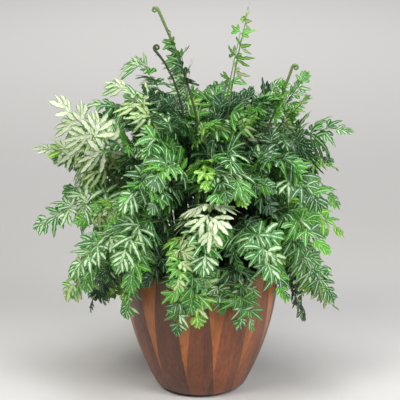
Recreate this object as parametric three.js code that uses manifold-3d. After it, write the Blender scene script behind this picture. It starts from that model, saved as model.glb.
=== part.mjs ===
// A silver lace fern in its turned wooden pot. Millimetres, +Z up, +X right and -Y to the front.
// The origin is the middle of the flat foot that the pot stands on.
import * as THREE from "three";
import { mergeVertices } from "three/addons/utils/BufferGeometryUtils.js";
import Module from "manifold-3d";

const wasm = await Module();
wasm.setup();

// Driving dimensions of the pot
const POT_HEIGHT = 172;
const RIM_RADIUS = 102;
const FOOT_RADIUS = 41;
const HEEL_RADIUS = 54; // where the belly curve would meet the ground
const BELLY_POWER = 2.25; // how soon the belly swells above the foot
const WALL = 9;
const FLOOR = 12;
const POT_SIDES = 32;

// Driving dimensions of the soil and of what stands in it
const SOIL_TOP = 152;
const SEAT_GAP = 0.3;
const STEM_DEPTH = 22; // of a stalk in the soil
const STEM_HALF = 1.1; // a stalk is square in section, this wide each side of its middle
const RACHIS_HALF = 0.8;
const RIB_HALF = 0.75;
const BLADE_HALF = 0.35; // half the thickness of a leaflet

// Most fronds stand in tiers. Each leaves its tier's ring of the soil, rises, arches over and ends in a blade.
// root: ring radius, reach and rise: from the root to the tip, lean and lift: how the stalk sets out,
// droop: how far the tip points below level, in degrees, pull: how long it keeps that way,
// blade: length of the leafy part, face: how far blades at the sides turn their faces to the front,
// first and step: azimuth of the first tuft and turn to the next one,
// fork: the turn between the two fronds of a tuft, which share one foot. Without it a frond stands alone.
// rung: how much higher the second of them ends.
const TIERS = [
  { name: "rim_frond", leaves: "short", count: 12, root: 74, reach: 58, rise: -34, lean: 14, lift: 70,
    droop: 84, pull: 84, blade: 76, face: 8, first: 262, step: 30, fork: 0, rung: 0 },
  { name: "low_fronds", leaves: "forked", count: 5, root: 62, reach: 104, rise: -4, lean: 20, lift: 94,
    droop: 70, pull: 90, blade: 98, face: 36, first: 286, step: 72, fork: 36, rung: 26 },
  { name: "side_fronds", leaves: "forked", count: 5, root: 50, reach: 136, rise: 52, lean: 26, lift: 112,
    droop: 60, pull: 92, blade: 104, face: 44, first: 250, step: 72, fork: 36, rung: 28 },
  { name: "middle_fronds", leaves: "forked", count: 5, root: 38, reach: 146, rise: 110, lean: 26, lift: 122,
    droop: 42, pull: 92, blade: 106, face: 44, first: 286, step: 72, fork: 36, rung: 28 },
  { name: "high_fronds", leaves: "forked", count: 4, root: 27, reach: 136, rise: 168, lean: 22, lift: 130,
    droop: 18, pull: 88, blade: 104, face: 44, first: 300, step: 90, fork: 44, rung: 28 },
  { name: "crown_fronds", leaves: "forked", count: 3, root: 15, reach: 100, rise: 222, lean: 16, lift: 126,
    droop: -22, pull: 80, blade: 100, face: 44, first: 250, step: 120, fork: 56, rung: 20 },
];

// The others are the plant's own: where each one's root and tip are, x, y and z from the origin.
const SINGLES = [
  { name: "cream_frond_left", root: [-38, -14], tip: [-180, -42, 388], lean: 30, lift: 92,
    droop: -40, pull: 88, roll: -62, blade: 92, tone: "cream" },
  { name: "lime_frond_left", root: [-52, -2], tip: [-208, -14, 318], lean: 34, lift: 108,
    droop: 6, pull: 96, roll: -44, blade: 96, tone: "lime", leaves: "forked" },
  { name: "pale_frond_left", root: [-60, -16], tip: [-211, -34, 220], lean: 30, lift: 110,
    droop: 38, pull: 92, roll: -40, blade: 98, tone: "silver", leaves: "forked" },
  { name: "pale_frond_low_left", root: [-54, -44], tip: [-160, -120, 186], lean: 26, lift: 96,
    droop: 44, pull: 90, roll: -34, blade: 94, tone: "silver", leaves: "forked" },
  { name: "hanging_frond_left", root: [-70, -12], tip: [-172, -48, 134], lean: 18, lift: 96,
    droop: 58, pull: 88, roll: -34, blade: 88, tone: "lime", leaves: "forked" },
  { name: "silver_frond_right", root: [46, 2], tip: [193, -12, 342], lean: 30, lift: 118,
    droop: 14, pull: 94, roll: 48, blade: 100, tone: "silver", leaves: "forked" },
  { name: "lime_frond_right", root: [64, -8], tip: [184, -36, 216], lean: 28, lift: 104,
    droop: 30, pull: 84, roll: 34, blade: 88, tone: "lime", leaves: "forked" },
  { name: "dark_frond_right", root: [48, 24], tip: [176, 66, 288], lean: 30, lift: 112,
    droop: 8, pull: 84, roll: 30, blade: 90, tone: "dark", leaves: "forked" },
  { name: "hanging_frond_right", root: [70, -20], tip: [168, -66, 134], lean: 18, lift: 98,
    droop: 56, pull: 88, roll: 34, blade: 90, tone: "silver", leaves: "forked" },
  { name: "cream_frond_front", root: [2, -50], tip: [12, -176, 236], lean: 24, lift: 122,
    droop: 66, pull: 92, roll: 6, blade: 92, tone: "cream" },
  { name: "cream_frond_front_right", root: [26, -54], tip: [84, -162, 192], lean: 22, lift: 104,
    droop: 74, pull: 90, roll: 12, blade: 86, tone: "cream" },
  { name: "cream_frond_high", root: [20, 6], tip: [104, 22, 402], lean: 14, lift: 132,
    droop: -38, pull: 84, roll: 42, blade: 92, tone: "cream", leaves: "forked" },
  { name: "pale_frond_high_left", root: [-20, 6], tip: [-112, -6, 408], lean: 14, lift: 130,
    droop: -30, pull: 84, roll: -46, blade: 92, tone: "lime", leaves: "forked" },
  { name: "folded_frond_right", root: [30, 26], tip: [138, 66, 402], lean: 20, lift: 134,
    droop: -52, pull: 84, roll: 40, blade: 60, tone: "dark", leaves: "forked" },
  { name: "fiddlehead_tall", root: [6, 12], tip: [-54, 16, 494], lean: -8, lift: 170,
    droop: -66, pull: 110, roll: 26, blade: 104, tone: "dark", leaves: "small", coil: 4 },
  { name: "whorled_frond_left", root: [14, 8], tip: [54, 28, 480], lean: 4, lift: 150,
    droop: -76, pull: 140, roll: 30, blade: 80, tone: "lime", leaves: "whorls" },
  { name: "whorled_frond_right", root: [22, -18], tip: [60, -26, 506], lean: 4, lift: 160,
    droop: -77, pull: 150, roll: 30, blade: 84, tone: "lime", leaves: "whorls" },
  { name: "crozier_left", root: [-12, -4], tip: [-58, -6, 446], lean: 4, lift: 160,
    droop: -48, pull: 70, roll: 0, blade: 24, tone: "dark", leaves: "bare", coil: -4 },
  { name: "crozier_right", root: [30, -6], tip: [114, -32, 430], lean: 16, lift: 130,
    droop: -72, pull: 90, roll: 20, blade: 66, tone: "dark", leaves: "small", coil: 4 },
];

// Pairs of pinnae from the foot of the blade to its tip. at and reach are shares of the blade. Ribs, where the
// lobes leave a pinna, and the lobes' lengths are shares of the pinna. A lobe is [rib it leaves, length, turn]:
// lower ones point back, upper ones forward.
const PINNAE = {
  full: [
    { at: 0, reach: 0.46, angle: 66, ribs: [0.16], lower: [[0, 0.62, 46]], upper: [[0, 0.42, 40]] },
    { at: 0.3, reach: 0.39, angle: 58, ribs: [0.18], lower: [[0, 0.52, 44]], upper: [] },
    { at: 0.56, reach: 0.31, angle: 48, ribs: [], lower: [], upper: [] },
  ],
  forked: [
    { at: 0, reach: 0.41, angle: 66, ribs: [0.17], lower: [[0, 0.64, 46]], upper: [] },
    { at: 0.28, reach: 0.37, angle: 57, ribs: [], lower: [], upper: [] },
    { at: 0.54, reach: 0.29, angle: 48, ribs: [], lower: [], upper: [] },
  ],
  short: [
    { at: 0, reach: 0.46, angle: 66, ribs: [0.2], lower: [[0, 0.62, 46]], upper: [] },
    { at: 0.38, reach: 0.4, angle: 54, ribs: [], lower: [], upper: [] },
  ],
  small: [
    { at: 0, reach: 0.22, angle: 70, ribs: [0.22], lower: [[0, 0.7, 50]], upper: [] },
    { at: 0.22, reach: 0.2, angle: 66, ribs: [0.24], lower: [[0, 0.7, 50]], upper: [] },
    { at: 0.44, reach: 0.16, angle: 60, ribs: [], lower: [], upper: [] },
  ],
  whorls: [
    { at: 0, reach: 0.32, angle: 62, ribs: [0.2], lower: [[0, 0.7, 44]], upper: [] },
    { at: 0.4, reach: 0.28, angle: 56, ribs: [0.22], lower: [[0, 0.7, 44]], upper: [] },
    { at: 0.76, reach: 0.2, angle: 50, ribs: [], lower: [], upper: [] },
  ],
  bare: [{ at: 0.2, reach: 0.5, angle: 50, ribs: [], lower: [], upper: [] }],
};
// Half the breadth of the leafy part and the width of its lobes, as shares of its length.
const BREADTHS = { full: 0.43, forked: 0.38, short: 0.43, small: 0.21, whorls: 0.29, bare: 0.2 };
const LOBE_WIDTHS = { full: 0.094, forked: 0.106, short: 0.13, small: 0.053, whorls: 0.045, bare: 0.16 };
// How far the edges of a blade fall below its midrib, as a share of half its breadth.
const CAMBERS = { full: 0.3, forked: 0.3, short: 0.18, small: 0.2, whorls: 0.2, bare: 0.1 };
const PINNA_FOOT = 0.026; // how wide a pinna is where it leaves the midrib, as a share of the blade

const TONES = { green: 0x4f8a4c, dark: 0x2f5d38, lime: 0x86b84a, cream: 0xc9d3ae, silver: 0x8fb58e };
const TIER_TONES = ["green", "silver", "green", "dark"];
const WOOD = 0x7a4a35;
const SOIL = 0x241a14;

const radians = THREE.MathUtils.degToRad;
const degrees = THREE.MathUtils.radToDeg;
const clamp = THREE.MathUtils.clamp;

// Draws come from one seed, so the plant grows the same each time.
let seed = 16;
function draw(low, high) {
  seed = (seed * 1664525 + 1013904223) % 4294967296;
  return low + ((high - low) * seed) / 4294967296;
}

// Outer radius of the pot at a height: a belly that swells quickly and then stands up to the rim.
function potRadius(z) {
  const full = 1 - 0.1 ** BELLY_POWER;
  const swell = 1 - (1 - (0.9 * z) / POT_HEIGHT) ** BELLY_POWER;
  return HEEL_RADIUS + ((RIM_RADIUS - HEEL_RADIUS) * swell) / full;
}

function turned(profile) {
  const lathe = new THREE.LatheGeometry(
    profile.map(([r, z]) => new THREE.Vector2(r, z)),
    POT_SIDES,
  );
  lathe.rotateX(Math.PI / 2);
  return lathe;
}

// Heights where the inside of the pot and the soil in it bend alike.
const SOIL_HEIGHTS = [SOIL_TOP - 3, 105, 60, FLOOR + 8];

function potGeometry() {
  const outside = [7, 22, 46, 80, 120, POT_HEIGHT - 2].map((z) => [potRadius(z), z]);
  const inside = [POT_HEIGHT - 1, ...SOIL_HEIGHTS].map((z) => [potRadius(z) - WALL, z]);
  return turned([
    [0, 0],
    [FOOT_RADIUS, 0],
    ...outside,
    [RIM_RADIUS - 2, POT_HEIGHT],
    [RIM_RADIUS - WALL + 1, POT_HEIGHT],
    ...inside,
    [potRadius(FLOOR) - WALL - 6, FLOOR],
    [0, FLOOR],
  ]);
}

function solidOf(geometry) {
  const bare = geometry.clone();
  bare.deleteAttribute("normal");
  bare.deleteAttribute("uv");
  const merged = mergeVertices(bare, 1e-4);
  return new wasm.Manifold(
    new wasm.Mesh({
      numProp: 3,
      vertProperties: merged.attributes.position.array,
      triVerts: new Uint32Array(merged.index.array),
    }),
  );
}

function geometryOf(solid) {
  const mesh = solid.getMesh();
  return new THREE.BufferGeometry()
    .setAttribute("position", new THREE.BufferAttribute(mesh.vertProperties, 3))
    .setIndex(new THREE.BufferAttribute(mesh.triVerts, 1));
}

// The soil fills the pot and has a plain hole, a stalk wide, for each frond.
function soilGeometry(fronds) {
  const sides = SOIL_HEIGHTS.map((z) => [potRadius(z) - WALL - SEAT_GAP, z]);
  let soil = solidOf(
    turned([
      [0, FLOOR + SEAT_GAP],
      [potRadius(FLOOR) - WALL - 7, FLOOR + SEAT_GAP],
      ...sides.reverse(),
      [potRadius(SOIL_TOP) - WALL - 5, SOIL_TOP],
      [0, SOIL_TOP],
    ]),
  );
  const width = 2 * (STEM_HALF + SEAT_GAP);
  const depth = STEM_DEPTH + SEAT_GAP;
  for (const frond of fronds.filter((one) => !one.mate)) {
    const hole = new THREE.BoxGeometry(width, width, 2 * depth);
    hole.rotateZ(frond.azimuth);
    hole.translate(frond.x, frond.y, SOIL_TOP);
    soil = soil.subtract(solidOf(hole));
  }
  return geometryOf(soil);
}

// The midrib of a frond in its own frame: root at the soil's surface, x the way it arches, z up.
// A coiled tip is a spiral that goes on from the end of the arch.
const ARCH_STEPS = 40;
const COIL_STEPS = 12;
function midrib(frond) {
  const down = radians(frond.droop);
  const ends = [
    [0, 0, 0],
    [frond.lean, 0, frond.lift],
    [frond.reach - frond.pull * Math.cos(down), frond.sweep * 0.4, frond.rise + frond.pull * Math.sin(down)],
    [frond.reach, frond.sweep, frond.rise],
  ];
  const arch = new THREE.CubicBezierCurve3(...ends.map((p) => new THREE.Vector3(...p)));
  const points = arch.getPoints(ARCH_STEPS);
  if (frond.coil) {
    const along = new THREE.Vector3(Math.cos(down), 0, -Math.sin(down));
    const inward = new THREE.Vector3(along.z, 0, -along.x).multiplyScalar(Math.sign(frond.coil));
    const radius = Math.abs(frond.coil);
    const centre = points[ARCH_STEPS].clone().addScaledVector(inward, radius);
    for (let i = 1; i <= COIL_STEPS; i++) {
      const share = i / COIL_STEPS;
      const angle = share * 2.4 * Math.PI;
      const r = radius * (1 - 0.72 * share);
      const point = centre.clone().addScaledVector(inward, -r * Math.cos(angle));
      points.push(point.addScaledVector(along, r * Math.sin(angle)));
    }
  }
  const lengths = [0];
  for (let i = 1; i < points.length; i++) lengths.push(lengths[i - 1] + points[i].distanceTo(points[i - 1]));
  return { points, lengths, length: lengths[lengths.length - 1], arch: lengths[ARCH_STEPS] };
}

// Where the midrib is at a length s from the soil, and the frame there: side to its left, up out of its face.
function frameAt(frond, s) {
  const { points, lengths } = frond.rib;
  if (s <= 0) {
    return {
      at: new THREE.Vector3(0, 0, s),
      side: new THREE.Vector3(0, 1, 0),
      up: new THREE.Vector3(-1, 0, 0),
    };
  }
  let i = 1;
  while (i < points.length - 1 && lengths[i] < s) i++;
  const share = (s - lengths[i - 1]) / (lengths[i] - lengths[i - 1]);
  const at = points[i - 1].clone().lerp(points[i], share);
  const before = points[i].clone().sub(points[i - 1]).normalize();
  const after = points[Math.min(points.length - 1, i + 1)].clone().sub(points[i - 1]).normalize();
  const along = before.lerp(after, share).normalize();
  const level = new THREE.Vector3(0, 1, 0).addScaledVector(along, -along.y).normalize();
  const face = along.clone().cross(level);
  // The stalk twists until the blade faces the light.
  const twist = frond.roll * THREE.MathUtils.smoothstep(s, 0.25 * frond.bladeStart, frond.bladeStart);
  return {
    at,
    side: level.clone().multiplyScalar(Math.cos(twist)).addScaledVector(face, Math.sin(twist)),
    up: face.clone().multiplyScalar(Math.cos(twist)).addScaledVector(level, -Math.sin(twist)),
  };
}

// A point of the blade: s along the midrib, w to its left. The blade arches down away from the midrib.
function onBlade(frond, s, w) {
  const { at, side, up } = frameAt(frond, s);
  const fall = frond.camber * (w / frond.halfWidth) ** 2;
  return { at: at.addScaledVector(side, w).addScaledVector(up, -fall), up };
}

// Half the breadth of the leafy part at a share of its length.
function bladeBreadth(share) {
  if (share < 0.25) return Math.min(1, (share + 0.12) / 0.14);
  return (Math.max(0, 1 - share) / 0.75) ** 0.8;
}

// Room that is already taken, as cells of a coarse grid. A frond that would grow through another turns aside
// on its ring, grows higher or lower, or stays smaller.
const CELL = 2.3;
const CELL_SHIFT = 0.29; // keeps the cells' borders off the round figures that roots have
const STEP = 2;
const POT_CLEARANCE = 3;
const FORK_LENGTH = 60; // of the foot of a tuft, where its two stalks stand close to each other
const SHRINKS = [1, 0.9, 0.8, 0.7, 0.6, 0.5];
const LIFTS = [0, 8, -8, 16, -16, 24, -24];
const TURNS = [0, 4, -4, 8, -8, 12, -12, 16, -16, 20, -20, 25, -25, 30, -30, 36, -36, 43, -43, 50, -50];
const taken = new Set();

function cellOf(p) {
  return [p.x, p.y, p.z].map((v) => Math.floor(v / CELL + CELL_SHIFT) + 500);
}

function cellKey([i, j, k]) {
  return (i * 1000 + j) * 1000 + k;
}

// Points all over a frond, in the frame of its own root. The foot that a tuft shares is left out.
function samples(frond) {
  const found = [];
  for (let s = frond.mate ? FORK_LENGTH : -STEM_DEPTH; s < frond.rib.length; s += STEP) {
    const share = (s - frond.bladeStart) / frond.blade;
    const leafy = share > -0.12 && share < 1;
    const narrowest = 0.6 * LOBE_WIDTHS[frond.leaves] * frond.blade;
    const widest = Math.max(narrowest, frond.halfWidth * bladeBreadth(share));
    const reach = leafy ? widest : 0;
    for (let w = -Math.floor(reach / STEP) * STEP; w <= reach; w += STEP)
      found.push(onBlade(frond, s, w).at);
  }
  return found;
}

function blocked(p) {
  const r = Math.hypot(p.x, p.y);
  const inWall =
    p.z < POT_HEIGHT + POT_CLEARANCE &&
    r > potRadius(Math.max(0, p.z)) - WALL - POT_CLEARANCE &&
    r < potRadius(Math.min(p.z, POT_HEIGHT)) + POT_CLEARANCE;
  return inWall || taken.has(cellKey(cellOf(p)));
}

function occupy(points) {
  for (const p of points) {
    const [i, j, k] = cellOf(p);
    for (let a = i - 1; a <= i + 1; a++)
      for (let b = j - 1; b <= j + 1; b++) for (let c = k - 1; c <= k + 1; c++) taken.add(cellKey([a, b, c]));
  }
}

function grow(wanted, mate) {
  for (const shrink of SHRINKS)
    for (const lift of LIFTS) {
      const frond = { ...wanted, mate, blade: wanted.blade * shrink, rise: wanted.rise + lift };
      frond.rib = midrib(frond);
      frond.bladeStart = frond.rib.arch - frond.blade;
      frond.halfWidth = BREADTHS[frond.leaves] * frond.blade;
      frond.camber = CAMBERS[frond.leaves] * frond.halfWidth;
      const local = samples(frond);
      for (const turn of TURNS) {
        const ring = radians(wanted.ringAngle + turn);
        frond.azimuth = radians(wanted.heading + turn);
        frond.x = mate ? mate.x : wanted.root * Math.cos(ring);
        frond.y = mate ? mate.y : wanted.root * Math.sin(ring);
        const stand = new THREE.Matrix4().makeRotationZ(frond.azimuth).setPosition(frond.x, frond.y, SOIL_TOP);
        const points = local.map((p) => p.clone().applyMatrix4(stand));
        if (points.some(blocked)) continue;
        occupy(points);
        return frond;
      }
    }
  if (mate) return null;
  throw new Error(wanted.name + " finds no room");
}

// A blade is laid out flat before it is bent: points have s, w and half a thickness.
class Plate {
  points = [];
  triangles = [];
  point(s, w, half) {
    return this.points.push({ s, w, half }) - 1;
  }
  band([left, right], [nextLeft, nextRight]) {
    this.triangles.push([right, nextRight, nextLeft], [right, nextLeft, left]);
  }
  // A leaflet leaves the edge between two points. Its ribs are the stations that side lobes leave from.
  leaflet(base, heading, { length, width, ribs = [] }) {
    const [a, b] = base.map((i) => this.points[i]);
    const s = (a.s + b.s) / 2;
    const w = (a.w + b.w) / 2;
    const pair = (along, half, thick) =>
      [1, -1].map((hand) =>
        this.point(
          s + along * Math.cos(heading) - hand * half * Math.sin(heading),
          w + along * Math.sin(heading) + hand * half * Math.cos(heading),
          thick,
        ),
      );
    const edges = [base];
    for (const rib of ribs) edges.push(pair(rib * length, RIB_HALF, BLADE_HALF + 0.1));
    edges.push(pair(0.6 * length, width / 2, BLADE_HALF));
    for (let i = 1; i < edges.length; i++) this.band(edges[i - 1], edges[i]);
    const [left, right] = edges[edges.length - 1];
    const tip = this.point(s + length * Math.cos(heading), w + length * Math.sin(heading), BLADE_HALF);
    this.triangles.push([right, tip, left]);
    return edges;
  }
  // The edge between two stations, on the left (+1) or on the right (-1), as a base for a lobe.
  flank(near, far, hand) {
    return hand > 0 ? [near[0], far[0]] : [far[1], near[1]];
  }
}

// Where a stalk bends between the soil and the blade, as shares of that length. Of the two fronds of a tuft,
// the second starts inside the stalk of the first, just above the soil.
const STEM_BENDS = [0, 0.56, 0.93];
const MATE_START = 2;
function layOut(frond) {
  const lobeWidth = LOBE_WIDTHS[frond.leaves] * frond.blade;
  const plate = new Plate();
  const station = (s, half) => [plate.point(s, half, half), plate.point(s, -half, half)];
  let last = station(frond.mate ? MATE_START : -STEM_DEPTH, STEM_HALF);
  const next = (s, half) => {
    const edge = station(s, half);
    plate.band(last, edge);
    last = edge;
    return edge;
  };
  for (const bend of STEM_BENDS.slice(frond.mate ? 1 : 0)) next(bend * frond.bladeStart, STEM_HALF);
  for (const pinna of PINNAE[frond.leaves]) {
    const s = frond.bladeStart + pinna.at * frond.blade;
    const near = next(s, RACHIS_HALF);
    const far = next(s + PINNA_FOOT * frond.blade, RACHIS_HALF);
    const length = pinna.reach * frond.blade;
    for (const hand of [1, -1]) {
      const heading = hand * radians(pinna.angle);
      const base = plate.flank(near, far, hand);
      const edges = plate.leaflet(base, heading, { length, width: lobeWidth, ribs: pinna.ribs });
      const lobe = ([rib, share, turn], way) =>
        plate.leaflet(plate.flank(edges[rib], edges[rib + 1], way), heading + way * radians(turn), {
          length: share * length,
          width: 0.9 * lobeWidth,
        });
      for (const one of pinna.lower) lobe(one, hand);
      for (const one of pinna.upper) lobe(one, -hand);
    }
  }
  const from = plate.points[last[0]].s;
  const { arch, length } = frond.rib;
  if (frond.coil) {
    next((from + arch) / 2, RACHIS_HALF);
    for (let i = 0; i <= COIL_STEPS; i++) {
      const share = i / COIL_STEPS;
      next(arch + (length - arch) * share, RACHIS_HALF * (1 - 0.4 * share));
    }
  } else {
    plate.leaflet(last, 0, { length: arch - from, width: lobeWidth });
  }
  return plate;
}

// The flat layout bent to the frond's shape and given its thickness: both faces split alike, with a wall round
// every edge that only one triangle has.
function frondGeometry(frond) {
  const { points, triangles } = layOut(frond);
  const positions = [];
  for (const hand of [1, -1])
    for (const { s, w, half } of points) {
      const { at, up } = onBlade(frond, s, w);
      positions.push(...at.addScaledVector(up, hand * half).toArray());
    }
  const under = points.length;
  const index = [];
  const edges = new Map();
  for (const [a, b, c] of triangles) {
    index.push(a, b, c, a + under, c + under, b + under);
    for (const [from, to] of [[a, b], [b, c], [c, a]]) {
      const back = `${to} ${from}`;
      if (edges.has(back)) edges.delete(back);
      else edges.set(`${from} ${to}`, [from, to]);
    }
  }
  for (const [from, to] of edges.values())
    index.push(from, from + under, to + under, from, to + under, to);
  return new THREE.BufferGeometry()
    .setAttribute("position", new THREE.Float32BufferAttribute(positions, 3))
    .setIndex(index);
}

function singleFronds() {
  return SINGLES.map((single) => {
    const [x, y] = single.root;
    const dx = single.tip[0] - x;
    const dy = single.tip[1] - y;
    return {
      leaves: "full",
      ...single,
      root: Math.hypot(x, y),
      ringAngle: degrees(Math.atan2(y, x)),
      heading: degrees(Math.atan2(dy, dx)),
      reach: Math.hypot(dx, dy),
      rise: single.tip[2] - SOIL_TOP,
      sweep: 0,
      roll: radians(single.roll),
    };
  });
}

function tierFronds() {
  const found = [];
  let tuft = 0;
  for (const tier of TIERS)
    for (let i = 0; i < tier.count; i++) {
      const tone = TIER_TONES[tuft % TIER_TONES.length];
      tuft += 1;
      const ringAngle = tier.first + i * tier.step + draw(-6, 6);
      const root = tier.root + draw(-4, 2);
      for (const side of tier.fork ? [-0.5, 0.5] : [0]) {
        const heading = ringAngle + side * tier.fork + draw(-7, 7);
        // Behind the middle they turn to the back.
        const front = clamp(0.45 - 1.2 * Math.sin(radians(heading)), -1, 1);
        found.push({
          ...tier,
          name: `${tier.name}_${i + 1}`,
          second: side > 0,
          ringAngle,
          heading,
          root,
          reach: tier.reach * draw(0.92, 1.06),
          rise: tier.rise + (side + 0.5) * tier.rung + draw(-10, 10),
          droop: tier.droop + draw(-9, 9),
          sweep: draw(-16, 16),
          roll: radians(tier.face * front * Math.cos(radians(heading)) + draw(-16, 16)),
          blade: tier.blade * draw(0.92, 1.05),
          tone,
        });
      }
    }
  return found;
}

// Where a tuft has no room for its second frond, it stays with one.
const fronds = [];
for (const wanted of [...singleFronds(), ...tierFronds()]) {
  const frond = grow(wanted, wanted.second ? fronds.findLast((one) => !one.mate) : null);
  if (frond) fronds.push(frond);
}

// The solid of a frond, turned to the azimuth of the stalk that its node stands on.
function frondSolid(frond, azimuth) {
  const geometry = frondGeometry(frond);
  geometry.rotateZ(frond.azimuth - azimuth);
  return solidOf(geometry);
}

const finish = (color, roughness) => new THREE.MeshStandardMaterial({ color, roughness, metalness: 0 });
const plant = new THREE.Group();

function add(name, geometry, material) {
  geometry.computeVertexNormals();
  const mesh = new THREE.Mesh(geometry, material);
  mesh.name = name;
  plant.add(mesh);
  return mesh;
}

add("pot", potGeometry(), finish(WOOD, 0.45));
add("potting_soil", soilGeometry(fronds), finish(SOIL, 0.95));
for (const frond of fronds.filter((one) => !one.mate)) {
  const { azimuth } = frond;
  const mates = fronds.filter((one) => one.mate === frond);
  const solid = mates.reduce((sum, mate) => sum.add(frondSolid(mate, azimuth)), frondSolid(frond, azimuth));
  const mesh = add(frond.name, geometryOf(solid), finish(TONES[frond.tone], 0.55));
  mesh.position.set(frond.x, frond.y, SOIL_TOP);
  mesh.rotation.z = azimuth;
}

export default plant;
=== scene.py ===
import math

import bpy
import numpy as np
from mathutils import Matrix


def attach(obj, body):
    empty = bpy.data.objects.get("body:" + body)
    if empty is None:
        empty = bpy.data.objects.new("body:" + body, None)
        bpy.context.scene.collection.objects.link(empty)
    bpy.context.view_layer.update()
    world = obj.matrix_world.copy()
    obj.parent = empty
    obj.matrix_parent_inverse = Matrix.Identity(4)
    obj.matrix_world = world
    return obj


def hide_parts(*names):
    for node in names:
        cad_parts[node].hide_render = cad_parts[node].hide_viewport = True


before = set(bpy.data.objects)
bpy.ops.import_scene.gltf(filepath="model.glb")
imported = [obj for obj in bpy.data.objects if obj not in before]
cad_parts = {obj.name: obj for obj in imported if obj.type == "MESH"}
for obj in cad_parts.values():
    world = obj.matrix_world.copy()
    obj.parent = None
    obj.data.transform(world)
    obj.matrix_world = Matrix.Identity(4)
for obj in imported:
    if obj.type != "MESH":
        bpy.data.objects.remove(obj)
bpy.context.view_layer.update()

# The studio: a wide floor of pale paper, soft light from the front and from above, and the camera at the
# photograph's height and distance.
MM = 0.001
ELEVATION = math.radians(15)
DISTANCE = 2.6
AIM = (-0.001, 0, 0.2497)
FRAME_WIDTH = 0.512  # of the photograph at the plant
SENSOR_WIDTH = 36
FLOOR_REACH = 9

camera = bpy.data.objects.new("camera", bpy.data.cameras.new("camera"))
bpy.context.collection.objects.link(camera)
camera.location = (
    AIM[0],
    AIM[1] - DISTANCE * math.cos(ELEVATION),
    AIM[2] + DISTANCE * math.sin(ELEVATION),
)
camera.rotation_euler = (math.pi / 2 - ELEVATION, 0, 0)
camera.data.sensor_width = SENSOR_WIDTH
camera.data.lens = SENSOR_WIDTH * DISTANCE / FRAME_WIDTH
bpy.context.scene.camera = camera
bpy.context.scene.view_settings.view_transform = "Standard"

paper_mesh = bpy.data.meshes.new("paper_floor")
paper_corners = [(x * FLOOR_REACH, y * FLOOR_REACH, 0) for x, y in ((-1, -1), (1, -1), (1, 1), (-1, 1))]
paper_mesh.from_pydata(paper_corners, [], [(0, 1, 2, 3)])
paper = bpy.data.objects.new("paper_floor", paper_mesh)
bpy.context.collection.objects.link(paper)

material = bpy.data.materials.new("studio_paper")
material.use_nodes = True
nodes, links = material.node_tree.nodes, material.node_tree.links
shader = nodes["Principled BSDF"]
where = nodes.new("ShaderNodeTexCoord")
split = nodes.new("ShaderNodeSeparateXYZ")
links.new(where.outputs["Object"], split.inputs[0])
depth = nodes.new("ShaderNodeMapRange")
depth.inputs["From Min"].default_value = -0.2
depth.inputs["From Max"].default_value = 3
links.new(split.outputs["Y"], depth.inputs["Value"])
# Painted light and shadow: from the front to the back the paper's colour is light beside the pot, making up
# for the plant's shade there, darker behind it as the plant's painted shadow, and then light again.
painted_shadow_ramp = nodes.new("ShaderNodeValToRGB")
painted_shadow_ramp.color_ramp.interpolation = "B_SPLINE"
for place, grey in ((0.10, 0.70), (0.16, 0.57), (0.28, 0.44), (0.56, 0.59)):
    stop = painted_shadow_ramp.color_ramp.elements.new(place)
    stop.color = (grey, grey * 0.978, grey * 0.955, 1)
painted_shadow_ramp.color_ramp.elements[0].color = (0.48, 0.470, 0.458, 1)
painted_shadow_ramp.color_ramp.elements[-1].color = (0.65, 0.636, 0.62, 1)
links.new(depth.outputs["Result"], painted_shadow_ramp.inputs["Fac"])
links.new(painted_shadow_ramp.outputs["Color"], shader.inputs["Base Color"])
shader.inputs["Roughness"].default_value = 0.9
# Painted light: far from the plant the paper glows by emission, as pale as the room behind it.
PALE = (0.60, 0.585, 0.57, 1)
stretch = nodes.new("ShaderNodeVectorMath")
stretch.operation = "MULTIPLY"
stretch.inputs[1].default_value = (2, 1, 0)
links.new(where.outputs["Object"], stretch.inputs[0])
far = nodes.new("ShaderNodeVectorMath")
far.operation = "LENGTH"
links.new(stretch.outputs[0], far.inputs[0])
painted_glow = nodes.new("ShaderNodeMapRange")
painted_glow.inputs["From Min"].default_value = 4.2
painted_glow.inputs["From Max"].default_value = 7
painted_glow.inputs["To Max"].default_value = 0.93
links.new(far.outputs["Value"], painted_glow.inputs["Value"])
links.new(painted_glow.outputs["Result"], shader.inputs["Emission Strength"])
shader.inputs["Emission Color"].default_value = PALE
paper_mesh.materials.append(material)

# name, place, size, power, what it is aimed at, spread of its beam, colour
for name, place, size, power, target, spread_angle, colour in (
    ("key", (-1.2, -1.7, 2.3), 1.0, 60, (0, 0, 0.25), 180, (1, 0.98, 0.94)),
    ("fill", (1.5, -1.7, 1.8), 1.2, 65, (0, 0, 0.25), 180, (0.98, 0.99, 1)),
    ("top", (0.1, -0.5, 2.6), 1.2, 32, (0, 0, 0.25), 180, (1, 1, 1)),
    ("floor_light", (0, 2.7, 3.2), 1.6, 16, (0, 2.7, 0), 80, (1, 1, 1)),
):
    lamp = bpy.data.lights.new(name, "AREA")
    lamp.size = size
    lamp.energy = power
    lamp.color = colour
    lamp.spread = math.radians(spread_angle)
    holder = bpy.data.objects.new(name, lamp)
    bpy.context.collection.objects.link(holder)
    holder.location = place
    aim = [a - p for a, p in zip(target, place)]
    holder.rotation_euler = (
        math.atan2(math.hypot(aim[0], aim[1]), -aim[2]),
        0,
        math.atan2(aim[1], aim[0]) - math.pi / 2,
    )
HORIZON = 0.12
ROOM_GREY = (0.125, 0.128, 0.132, 1)
world = bpy.data.worlds.new("studio")
world.use_nodes = True
nodes, links = world.node_tree.nodes, world.node_tree.links
where = nodes.new("ShaderNodeTexCoord")
split = nodes.new("ShaderNodeSeparateXYZ")
links.new(where.outputs["Generated"], split.inputs[0])
room = nodes.new("ShaderNodeValToRGB")
room.color_ramp.elements[0].position = HORIZON
room.color_ramp.elements[0].color = PALE
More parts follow.
